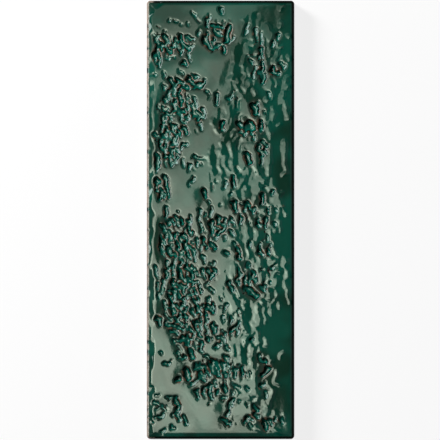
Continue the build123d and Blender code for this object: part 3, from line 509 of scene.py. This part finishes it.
# Where the clay is crumpled: x, y, half width, half length and strength, in the same layout
crumples = [
    (-31, 118, 15, 8.5, 1), (-42, 113, 4, 10, 0.9), (-4, 124, 10, 8, 0.6), (5, 124, 5, 8, 0.6),
    (-28, 91, 12, 6, 0.9), (25, 112, 12, 20, 0.6), (38, 104, 8, 16, 0.6), (21, 130, 6, 9, 0.35),
    (-31, 78, 15, 13, 1), (-22, 75, 10, 8, 1), (-36, 58, 10, 15, 1), (-26, 60, 6, 6, 0.8),
    (-35, 44, 10, 10, 1), (-25, 40, 6, 6, 0.6), (-14, 73, 5, 8, 0.6), (24, 86, 6, 5, 0.7),
    (20, 64, 10, 8, 0.8), (32, 72, 6, 14, 0.5), (43, 80, 4, 12, 0.4), (30, 49, 6, 7, 0.7),
    (4, 38, 5, 4, 0.5), (18, 38, 6, 8, 0.4), (-39, 20, 4, 12, 0.7), (-28, -16, 17, 15, 1),
    (-9, -12, 8, 11, 0.9), (-30, -1, 14, 5, 0.9), (-38, -16, 6, 15, 1), (0, -3, 8, 7, 0.8),
    (16, 7, 12, 9, 0.9), (33, 10, 8, 12, 0.6), (8, -8, 8, 9, 0.6), (25, -4, 9, 8, 0.7),
    (29, -19, 9, 10, 0.8), (5, -20, 8, 6, 0.5), (-25, -44, 19, 20, 1), (-24, -66, 20, 16, 1),
    (-20, -82, 16, 10, 1), (-5, -38, 8, 10, 0.7), (-4, -58, 8, 12, 0.7), (0, -78, 14, 10, 0.7),
    (18, -38, 8, 9, 0.8), (31, -40, 7, 12, 0.7), (12, -70, 6, 9, 0.6), (32, -59, 4, 6, 0.5),
    (-22, -92, 8, 6, 0.8), (-10, -101, 12, 9, 1), (3, -104, 11, 11, 0.9), (-10, -115, 9, 7, 0.7),
    (8, -117, 8, 9, 0.6), (-37, -129, 9, 8, 0.7), (-34, -141, 8, 4, 0.4), (5, -132, 6, 5, 0.5),
    (20, -137, 8, 4, 0.5), (29, -118, 5, 11, 0.5), (36, -137, 5, 6, 0.6), (15, -104, 6, 7, 0.7),
]


# How the clay is shaped between and around the hand work, in millimetres. A noise is its scale, detail and
# roughness, and a drift its scale and how far it goes. A ramp is where it starts and ends, then its values
# there if they aren't 0 and 1.
relief = {
    "castReach": 100,
    "skinDrop": 0.3,
    "drifts": [(0.2, 2), (0.26, 1.3), (0.6, 0.9)],
    "flow": (0, 25, 0.5, 0.1),
    "streakNoise": (0.3, 1.5),
    "streakStretch": 0.3,
    "streak": 3,
    "broadSlope": 0.016,
    "narrowSlope": 0.06,
    "narrowPatch": 2.9,
    "darkSlope": -0.045,
    "patchSpread": 0.5,
    "patchRise": 0.14,
    "leanGain": 0.0003125,
    "rimSoftness": 0.08,
    "creaseSoftness": 0.35,
    "crumpleNoise": (0.25, 1.5, 0.55),
    "crumpleStretch": 0.42,
    "crumpleDepth": 1.35,
    "ridges": (0.055, 0.01),
    "ridgeShare": 0.5,
    "pitLimit": (0, 0.9, 0.3, 0.04),
    "pits": (0, 0.08),
    "pitFade": (0, 0.3),
    "fineNoise": (0.5, 1),
    "fineDepths": (0.4, 1.2),
    "rumpleNoise": (0.14, 0),
    "rumpleFrom": 0.3,
    "rumple": 0.1,
    "waveNoise": (0.022, 1),
    "waveHeight": 0.1,
    "mottleNoise": (0.09, 3),
    "mottleStretch": (-20, 20, 0.7, 0.4),
    "mottleHeight": 0.045,
    "wavesIn": (2, 7),
    "marginWidth": 1.5,
    "marginSlope": 0.145,
    "leftMarginNoise": (0.06, 1.5),
    "leftMarginWidth": (0.35, 0.6, 2, 4.6),
    "leftMargin": (-38, -44),
    "footMargin": (-140, -146, 0, 1.3),
    "hollowsIn": (1, 3.5),
    "nearRounds": 40,
    "sinkRounds": 120,
    "sinkFrom": 0.03,
    "sinkLeft": (15, -5),
    "sinkIn": (3, 9),
    "smoothRounds": 2,
    "crestRounds": 8,
    "glazeFoot": 1,
    "glazeTopGap": 0.05,
    "rim": (2.8, 0.8),
}


def onFace(x, y):
    # A point of the layout, in metres on the real tile
    across, along = hollows["layout"]
    return Vector((x * tileWidth / across, y * tileLength / along, 0))


def turnAlong(run):
    return Matrix.Rotation(math.atan2(run.y, run.x), 4, "Z")


def shapeHollow(mesh, x1, y1, x2, y2, width):
    # The ball is drawn out along its run and raised until only its lowest part is below the face
    depth = min(max(width * hollows["depthShare"], hollows["leastDepth"]), hollows["mostDepth"])
    radius = (width**2 / 4 + depth**2) / (2 * depth) * mm
    start, run = onFace(x1, y1), onFace(x2, y2) - onFace(x1, y1)
    for vertex in mesh.vertices:
        vertex.co = vertex.co * radius
        if vertex.co.x > hollows["middleShare"] * radius:
            vertex.co = Vector((vertex.co.x, vertex.co.y, vertex.co.z + radius)) * hollows["taper"]
            vertex.co += Vector((run.length, 0, -radius))
    lift = Vector((0, 0, radius - depth * mm))
    mesh.transform(Matrix.Translation(start + lift) @ turnAlong(run))
    # Undercut towards the upper left, so that the floor rises slowly to the lower right
    slant = Matrix.Identity(4)
    slant[0][2], slant[1][2] = hollows["undercut"], -hollows["undercut"]
    mesh.transform(slant)


def shapePatch(mesh, middle, x1, y1, x2, y2, width):
    # The disc is drawn out along its run and lies as many millimetres high as its middle lies to the right
    start, run = onFace(x1, y1), onFace(x2, y2) - onFace(x1, y1)
    for vertex in mesh.vertices:
        vertex.co = vertex.co * (width + relief["patchSpread"]) / 2 * mm
        if vertex.co.x > 0:
            vertex.co.x += run.length
    mesh.transform(Matrix.Translation(start + Vector((0, 0, middle * mm))) @ turnAlong(run))


def shapeCrumple(mesh, x, y, halfWidth, halfLength, strength):
    # The ball becomes a dome that stands as many millimetres high as the clay is crumpled there
    mesh.transform(Matrix.Diagonal((halfWidth * mm, halfLength * mm, strength * mm, 1)))
    mesh.transform(Matrix.Translation(onFace(x, y)))


def makeForms(name, rows, shapeForm, addPattern, divisions):
    # A shaped copy of the pattern for each row, joined. They stay only until the face is shaped over them.
    pick()
    addPattern(radius=1, location=(0, 0, 0), **divisions)
    pattern = bpy.context.object
    forms = []
    for row in rows:
        form = pattern.copy()
        form.data = pattern.data.copy()
        bpy.context.collection.objects.link(form)
        shapeForm(form.data, *row)
        forms.append(form)
    bpy.data.objects.remove(pattern)
    pick(*forms)
    bpy.ops.object.join()
    forms[0].name = name
    return forms[0]


def cast(graph, place, forms, direction):
    # Whether forms lie over a place, and their height there in millimetres, from above (-1) or below (1)
    x, y, z = graph.parts(place)
    reach = relief["castReach"] * mm
    sockets = {
        "Target Geometry": graph.take("GeometryNodeObjectInfo", "Geometry", {"Object": forms}),
        "Source Position": graph.point(x * mm, y * mm, -direction * reach),
        "Ray Direction": (0, 0, direction),
        "Ray Length": 2 * reach,
    }
    ray = graph.add("GeometryNodeRaycast", sockets)
    hit = Wire(graph, ray.outputs["Is Hit"])
    return hit, graph.parts(Wire(graph, ray.outputs["Hit Position"]))[2] / mm


def roundCorners(graph, x, y):
    # Squares about the corner's centre become quarter circles
    radius, tiny = body["cornerRadius"], body["tiny"]
    overX = graph.larger(abs(x) - (tileWidth / 2 / mm - radius), 0)
    overY = graph.larger(abs(y) - (tileLength / 2 / mm - radius), 0)
    longest = graph.larger(overX, overY)
    diagonal = graph.larger((overX * overX + overY * overY) ** 0.5, tiny)
    inCorner = graph.maths("GREATER_THAN", graph.smaller(overX, overY), tiny)
    pull = 1 + inCorner * (longest / diagonal - 1)
    signX, signY = graph.maths("SIGN", x), graph.maths("SIGN", y)
    return x - signX * overX * (1 - pull), y - signY * overY * (1 - pull)


def flow(graph, x, y):
    # The way the clay has run: down to the right on the tile's left, and nearly straight down on its right
    slant = graph.ramp(x, *relief["flow"])
    return slant, x + y * slant, y - x * slant


def loosen(graph, place, x, y):
    # Where the hand work is looked up: a little aside, so that its outlines wander and run with the clay
    aside = place
    for scale, amount in relief["drifts"]:
        drift = graph.vector("SUBTRACT", graph.noise(place, scale, 1.0, output=1), (0.5,) * 3)
        aside = graph.vector("ADD", aside, graph.vector("MULTIPLY", drift, (2 * amount,) * 3))
    slant, across, along = flow(graph, x, y)
    stretched = graph.point(across, along * relief["streakStretch"], 0.0)
    streak = graph.sway(stretched, relief["streakNoise"], relief["streak"])
    return graph.vector("ADD", aside, graph.point(-streak * slant, streak, 0.0))


def lean(graph, place, x, forms, slope, rise=0.0):
    # Where the patches are, and a height that rises about each patch's middle, more steeply further right
    hit, middle = cast(graph, place, forms, -1)
    return hit, hit * ((x - middle) * (slope + (x + middle) * relief["leanGain"]) + rise)


def crumpledClay(graph, place, strength):
    # Narrow flat ridges wander between pits where the strength is high. Where it is low, single pits are
    # left. The first result is how much of a hollow's depth is left under the same ridges.
    x, y, z = graph.parts(place)
    slant, across, along = flow(graph, x, y)
    stretched = graph.point(across, along * relief["crumpleStretch"], 0.0)
    folds = abs(graph.noise(stretched, *relief["crumpleNoise"]) - 0.5)
    ridges = graph.ramp(folds, *relief["ridges"]) * strength * relief["ridgeShare"]
    least, more = relief["fineDepths"]
    depths = least + more * graph.noise(stretched, *relief["fineNoise"])
    limit = graph.ramp(strength, *relief["pitLimit"])
    pits = graph.ramp(folds - limit, *relief["pits"]) * depths * relief["crumpleDepth"]
    pits = pits * graph.ramp(strength, *relief["pitFade"])
    rumple = (graph.noise(stretched, *relief["rumpleNoise"]) - relief["rumpleFrom"]) * relief["rumple"]
    return 1 - ridges, pits + graph.larger(rumple * strength, 0)


def slopingMargin(graph, place, x, y, fromEdge):
    # How far the margin drops towards the arris. On the left its inner line wanders.
    leftWidth = graph.ramp(graph.noise(place, *relief["leftMarginNoise"]), *relief["leftMarginWidth"])
    width = relief["marginWidth"]
    width = width + graph.ramp(x, *relief["leftMargin"]) * (leftWidth - width)
    width = width + graph.ramp(y, *relief["footMargin"])
    inMargin = width - graph.larger(fromEdge - body["arrisRadius"], 0)
    return graph.larger(inMargin, 0) * relief["marginSlope"]


def reliefTree(hollowForms, narrowForms, broadForms, darkForms, crumpleForms):
    tree = bpy.data.node_groups.new("faceRelief", "GeometryNodeTree")
    for direction in ("INPUT", "OUTPUT"):
        tree.interface.new_socket("Geometry", in_out=direction, socket_type="NodeSocketGeometry")
    graph = Graph(tree)
    shape = graph.take("NodeGroupInput", "Geometry")
    position = graph.take("GeometryNodeInputPosition", "Position")
    rawX, rawY, rawZ = [part / mm for part in graph.parts(position)]
    x, y = roundCorners(graph, rawX, rawY)
    place = graph.point(x, y, 0.0)
    fromEdge = graph.smaller(tileWidth / 2 / mm - abs(x), tileLength / 2 / mm - abs(y))
    inside = graph.ramp(fromEdge, *relief["hollowsIn"])

    # Hand work, with its outlines loosened
    aside = loosen(graph, place, x, y)
    hit, depth = cast(graph, aside, hollowForms, 1)
    hammered = graph.eased(hit * graph.larger(-depth, 0), relief["rimSoftness"])
    narrow, narrowRise = lean(graph, aside, x, narrowForms, relief["narrowSlope"], relief["patchRise"])
    broad, broadRise = lean(graph, aside, x, broadForms, relief["broadSlope"], relief["patchRise"])
    darkFall = lean(graph, aside, x, darkForms, relief["darkSlope"])[1]
    leaning = narrowRise + (1 - narrow) * (broadRise + (1 - broad) * darkFall)

    # The deeper of the hollows and the crumpled clay's pits, with no crease where they meet
    crumpledHere, strength = cast(graph, aside, crumpleForms, -1)
    kept, crumpled = crumpledClay(graph, aside, crumpledHere * graph.larger(strength, 0))
    hammered = hammered * kept
    apart = graph.eased(hammered - crumpled, relief["creaseSoftness"])
    sunk = (apart + hammered + crumpled) * 0.5 * inside

    # On the left the clay has sunk about crowded hollows
    near = graph.blur(sunk, relief["nearRounds"])
    dip = graph.larger(graph.blur(near, relief["sinkRounds"]) - relief["sinkFrom"], 0)
    dip = dip * graph.ramp(x, *relief["sinkLeft"]) * graph.ramp(fromEdge, *relief["sinkIn"])

    # Broad waves, and a mottle that is drawn out along the tile
    waves = graph.sway(place, relief["waveNoise"], relief["waveHeight"])
    stretched = graph.point(x, y * graph.ramp(x, *relief["mottleStretch"]), 3.0)
    mottle = graph.sway(stretched, relief["mottleNoise"], relief["mottleHeight"])
    uneven = (waves + mottle) * graph.ramp(fromEdge, *relief["wavesIn"])

    height = graph.smaller((leaning - dip) * inside + uneven - sunk - relief["skinDrop"], 0)
    height = graph.blur(height, relief["smoothRounds"])
    arrisFoot = tileTop / mm - body["arrisRadius"]
    upper = graph.ramp(rawZ, relief["glazeFoot"], arrisFoot - relief["glazeTopGap"])
    drop = slopingMargin(graph, place, x, y, fromEdge)
    moved = graph.point(x * mm, y * mm, (rawZ + (height - drop) * upper) * mm)

    # What the glaze reads
    values = {
        "sunk": sunk,
        "near": near,
        "crest": (height - graph.blur(height, relief["crestRounds"])) * upper,
        "glazed": upper,
        "rim": graph.ramp(fromEdge, *relief["rim"]),
    }
    for name, value in values.items():
        shape = graph.store(shape, name, value)
    shape = graph.take("GeometryNodeSetPosition", "Geometry", {"Geometry": shape, "Position": moved})
    shape = graph.store(shape, "steep", 1 - graph.parts(graph.take("GeometryNodeInputNormal", "Normal"))[2])
    graph.add("NodeGroupOutput", {"Geometry": shape})
    return tree


def shapeFace(tile):
    hollowRows = hollows["top"] + hollows["upper"] + hollows["middle"] + hollows["bottom"]
    narrowRows = [row for row in patches["pale"] if row[-1] < relief["narrowPatch"]]
    broadRows = [row for row in patches["pale"] if row[-1] >= relief["narrowPatch"]]
    ball = (bpy.ops.mesh.primitive_uv_sphere_add, hollows["ball"])
    disc = (bpy.ops.mesh.primitive_circle_add, patches["disc"])
    forms = [
        makeForms("hollowForms", hollowRows, shapeHollow, *ball),
        makeForms("narrowForms", narrowRows, shapePatch, *disc),
        makeForms("broadForms", broadRows, shapePatch, *disc),
        makeForms("darkForms", patches["dark"], shapePatch, *disc),
        makeForms("crumpleForms", crumples, shapeCrumple, *ball),
    ]
    modifier = tile.modifiers.new("Relief", "NODES")
    modifier.node_group = reliefTree(*forms)
    pick(tile)
    bpy.ops.object.modifier_apply(modifier="Relief")
    for form in forms:
        bpy.data.objects.remove(form)


shapeFace(tile)
bpy.ops.object.shade_smooth_by_angle(angle=math.radians(body["smoothAngle"]))
print("face shaped:", sum(len(p.vertices) - 2 for p in tile.data.polygons), "triangles")


# Colours are linear red, green and blue. A coat is its colour and the ramps whose product is its share, or
# two such lists, of which the larger product counts. A ramp names what it follows first.
glaze = {
    "green": (0.0008, 0.036, 0.022, 1),
    "teal": (0.0002, 0.077, 0.051, 1),
    # Painted shade: a greyed, darker green laid about crowded hollows
    "dull": (0.03, 0.048, 0.035, 1),
    "pooled": (0.0002, 0.105, 0.074, 1),
    # Painted shade: near black, mostly shade painted on walls, hollow rims and unlit margins, partly the
    # glaze breaking dark
    "broken": (0.003, 0.003, 0.002, 1),
    "thin": (0.15, 0.08, 0.048, 1),
    # Painted highlight: the thin glaze's brown, painted pale on the left arris only, as if lit from the
    # left
    "edge": (0.24, 0.19, 0.155, 1),
    "bisque": (0.55, 0.42, 0.33, 1),
    "coats": [
        ("teal", [("thick", 0.38, 0.62)]),
        ("dull", [("near", 0.02, 0.25, 0, 0.8)]),
        # Painted shade: the greyed green follows the blurred depth of the hollows nearby
        ("pooled", [("sunk", 0.05, 0.5, 0, 0.9)]),
        (
            # Painted shade: near black on steep walls under crests and round the rims of hollows, partly
            # the glaze breaking dark there
            "broken",
            [("steep", 0.03, 0.11), ("crest", -0.22, -0.02), ("uneven", 0.64, 0.5, 0, 0.95)],
            [("sunk", 0.02, 0.07), ("sunk", 0.5, 0.3), ("uneven", 0.46, 0.54, 0, 0.95)],
        ),
        ("thin", [("sharp", 0.13, 0.23, 0, 0.55)]),
        # Painted shade: a near-black band along the margins, left out on the left side, where the key
        # lights the arris
        ("broken", [("rim", 0.1, 0.6, 0, 0.9), ("x", -44, -48, 1, 0)]),
        # Painted highlight: the left arris alone is painted pale, as if lit from the left
        ("edge", [("rim", 0.4, 1), ("x", -44, -48), ("uneven", 0.3, 0.5), ("glazed", 0.7, 1)]),
        ("bisque", [("covered", 0.25, 0.4, 1, 0)]),
    ],
    "unevenNoise": (0.25, 2),
    "thickNoise": (0.035, 2),
    "sharpUneven": 0.5,
    "coveredUneven": 0.2,
    "roughness": 0.055,
    "bareRoughness": 0.6,
    "refraction": 1.5,
    "peelNoise": (0.7, 2),
    "peelHeight": 0.006,
}


def makeGlaze():
    # Its thickness varies. It pools in the pits and runs thin off sharp crests. Painted shade: near black
    # on steep walls and round the rims of hollows, partly the glaze breaking dark there; a greyed green
    # about crowded hollows; a dark band along the unlit margins. The left arris is painted pale, as if lit
    # from the left.
    material = bpy.data.materials.new("greenGlaze")
    graph = emptyTree(material)
    place = graph.vector("MULTIPLY", graph.take("ShaderNodeTexCoord", "Object"), (1 / mm,) * 3)
    wires = {"x": graph.parts(place)[0]}
    for name in ("sunk", "near", "crest", "steep", "rim", "glazed"):
        wires[name] = graph.take("ShaderNodeAttribute", "Fac", None, {"attribute_name": name})
    wires["uneven"] = graph.noise(place, *glaze["unevenNoise"])
    wires["thick"] = graph.noise(place, *glaze["thickNoise"])
    wires["sharp"] = wires["crest"] + (wires["uneven"] - 0.5) * glaze["sharpUneven"]
    wires["covered"] = wires["glazed"] + (wires["uneven"] - 0.5) * glaze["coveredUneven"]
    colour = glaze["green"]
    for name, first, *others in glaze["coats"]:
        share = graph.overlap(wires, first)
        for ramps in others:
            share = graph.larger(share, graph.overlap(wires, ramps))
        colour = graph.blend(share, colour, glaze[name])
    # The last coat is bare clay
    roughness = glaze["roughness"] + share * glaze["bareRoughness"]
    sockets = {"Distance": glaze["peelHeight"] * mm, "Height": graph.noise(place, *glaze["peelNoise"])}
    peel = graph.take("ShaderNodeBump", "Normal", sockets)
    sockets = {"Base Color": colour, "Roughness": roughness, "Normal": peel, "IOR": glaze["refraction"]}
    shader = graph.take("ShaderNodeBsdfPrincipled", "BSDF", sockets)
    graph.add("ShaderNodeOutputMaterial", {"Surface": shader})
    return material


tile.data.materials.clear()
tile.data.materials.append(makeGlaze())
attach(tile, "root")
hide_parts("tile")
print("glaze laid on")


# The studio, in metres and degrees. Its ramps are written as for the relief or the glaze.
studio = {
    "cameraHeight": 1.6,
    "cameraShift": (-0.0004, -0.0001),
    "frameWidth": 0.3006,
    "sensorWidth": 36,
    "viewEnd": 50,
    "keyPlace": (-1.25, 0.96, 0.62),
    "keySize": 0.45,
    "keyLevel": 0.72,
    "panelX": (-0.45, 0.3),
    "panelY": (-0.45, 0.45),
    "panelColour": (0.89, 1, 0.81, 1),
    "panelEdge": (0.24, 0.28, 0.014, 0.066),
    "panelBlur": (0.004, -0.004),
    "panelLevel": [
        ("along", -0.25, 0.21, 6, 2.6),
        ("along", 0.3, 0.19, 0.42, 1),
        ("along", -0.295, -0.265, 0.6, 1),
        ("across", -0.1, -0.3, 1, 2),
    ],
    "panelCorner": [("along", 0.12, 0.2), ("across", -0.09, 0, -0.35, 0.2)],
    "cloudNoise": (26, 3, 0.6),
    "cloudLevels": (0.4, 1.2),
    "skirt": (0.32, 0.05),
    "skirtColour": (0.12, 0.05, 0.02, 1),
    "softboxAngle": 160,
    "softboxHeight": 58.5,
    "softboxReach": 1.8,
    "softboxSize": (1.7, 0.38),
    "softboxLevel": 9,
    "softboxColour": (0.85, 1, 0.95, 1),
    "sky": (0.9, 0.98, 0.005, 0.3),
    "sideFill": (0.22, 0.05, 0, 2.4),
    "floorGlow": 0.83,
    "floorMatt": (0.18, 0.18, 0.18, 1),
    "floorSize": 12,
    "white": (1, 1, 1, 1),
}


def makeCamera():
    place = (*studio["cameraShift"], tileTop + studio["cameraHeight"])
    bpy.ops.object.camera_add(location=place, rotation=(0, 0, 0))
    camera = bpy.context.object
    camera.data.sensor_width = studio["sensorWidth"]
    camera.data.lens = studio["sensorWidth"] * studio["cameraHeight"] / studio["frameWidth"]
    camera.data.clip_end = studio["viewEnd"]
    bpy.context.scene.camera = camera


def makeKey():
    # A large soft lamp at the upper left
    bpy.ops.object.light_add(type="AREA", location=studio["keyPlace"])
    lamp = bpy.context.object
    lamp.rotation_euler = Vector(studio["keyPlace"]).to_track_quat("Z", "Y").to_euler()
    distance = Vector(studio["keyPlace"]).length
    facing = studio["keyPlace"][2] / distance
    lamp.data.size = studio["keySize"]
    lamp.data.energy = studio["keyLevel"] * math.pi**2 * distance**2 / facing
    lamp.visible_camera = False
    lamp.visible_glossy = False


def addSheet(name, materialName, side, place):
    # A flat sheet, and the empty node tree of its material
    pick()
    bpy.ops.mesh.primitive_plane_add(size=side, location=place)
    sheet = bpy.context.object
    sheet.name = name
    material = bpy.data.materials.new(materialName)
    sheet.data.materials.append(material)
    return sheet, emptyTree(material)


def glow(graph, colour, level):
    return graph.take("ShaderNodeEmission", 0, {"Color": colour, "Strength": level})


def makeMirrored(sheet, graph, colour, level):
    # It glows, and only what is glossy shows it
    graph.add("ShaderNodeOutputMaterial", {"Surface": glow(graph, colour, level)})
    sheet.visible_camera = False
    sheet.visible_shadow = False
    sheet.visible_diffuse = False


def makeOverhead():
    # The pale panel over the tile's left side, which its flat places mirror. It brightens towards the foot.
    (left, right), (near, far) = studio["panelX"], studio["panelY"]
    place = ((left + right) / 2, (near + far) / 2, tileTop + studio["cameraHeight"])
    panel, graph = addSheet("overheadPanel", "overheadGlow", 1, place)
    panel.scale = (right - left, far - near, 1)
    x, y, z = graph.parts(graph.take("ShaderNodeTexCoord", "Object"))
    across = x * (right - left) + (left + right) / 2
    along = y * (far - near)
    wires = {"across": across, "along": along}
    level = graph.overlap(wires, studio["panelLevel"]) * (1 + graph.overlap(wires, studio["panelCorner"]))
    least, more = studio["cloudLevels"]
    level = level * (least + more * graph.noise(graph.point(across, along, 0.0), *studio["cloudNoise"]))
    edge = graph.ramp(abs(along), *studio["panelEdge"])
    pale = graph.ramp(across - edge, *studio["panelBlur"])
    colour = graph.blend(pale, studio["skirtColour"], studio["panelColour"])
    makeMirrored(panel, graph, colour, graph.larger(pale * level, graph.ramp(across, *studio["skirt"])))


def makeSoftbox():
    # A wide soft box at the upper left, which only the slopes that face it mirror
    turn, lift = math.radians(studio["softboxAngle"]), math.radians(studio["softboxHeight"])
    aim = Vector((math.cos(turn) * math.cos(lift), math.sin(turn) * math.cos(lift), math.sin(lift)))
    box, graph = addSheet("softbox", "softboxGlow", 1, aim * studio["softboxReach"])
    box.rotation_euler = aim.to_track_quat("Z", "Y").to_euler()
    box.scale = (*studio["softboxSize"], 1)
    makeMirrored(box, graph, studio["softboxColour"], studio["softboxLevel"])


def makeFloor():
    # It looks white to the camera and in the glaze, and keeps the tile's shadow
    floor, graph = addSheet("studioFloor", "paleFloor", studio["floorSize"], (0, 0, 0))
    camera = graph.take("ShaderNodeLightPath", "Is Camera Ray")
    mirrored = graph.take("ShaderNodeLightPath", "Is Glossy Ray")
    pale = glow(graph, studio["white"], (camera + mirrored) * studio["floorGlow"])
    matt = graph.take("ShaderNodeBsdfDiffuse", 0, {"Color": studio["floorMatt"]})
    both = graph.take("ShaderNodeAddShader", 0, {0: matt, 1: pale})
    graph.add("ShaderNodeOutputMaterial", {"Surface": both})


def makeWorld():
    # Dim all round and paler overhead. The room's own light, which nothing mirrors, reaches the sides.
    world = bpy.data.worlds.new("studioWorld")
    bpy.context.scene.world = world
    graph = emptyTree(world)
    up = graph.parts(graph.take("ShaderNodeTexCoord", "Generated"))[2]
    sideFill = graph.take("ShaderNodeLightPath", "Is Diffuse Ray") * graph.ramp(up, *studio["sideFill"])
    level = graph.ramp(up, *studio["sky"]) + sideFill
    shader = graph.take("ShaderNodeBackground", 0, {"Color": studio["white"], "Strength": level})
    graph.add("ShaderNodeOutputWorld", {"Surface": shader})


makeCamera()
makeKey()
makeOverhead()
makeSoftbox()
makeFloor()
makeWorld()
bpy.context.scene.view_settings.view_transform = "Standard"
print("studio set")
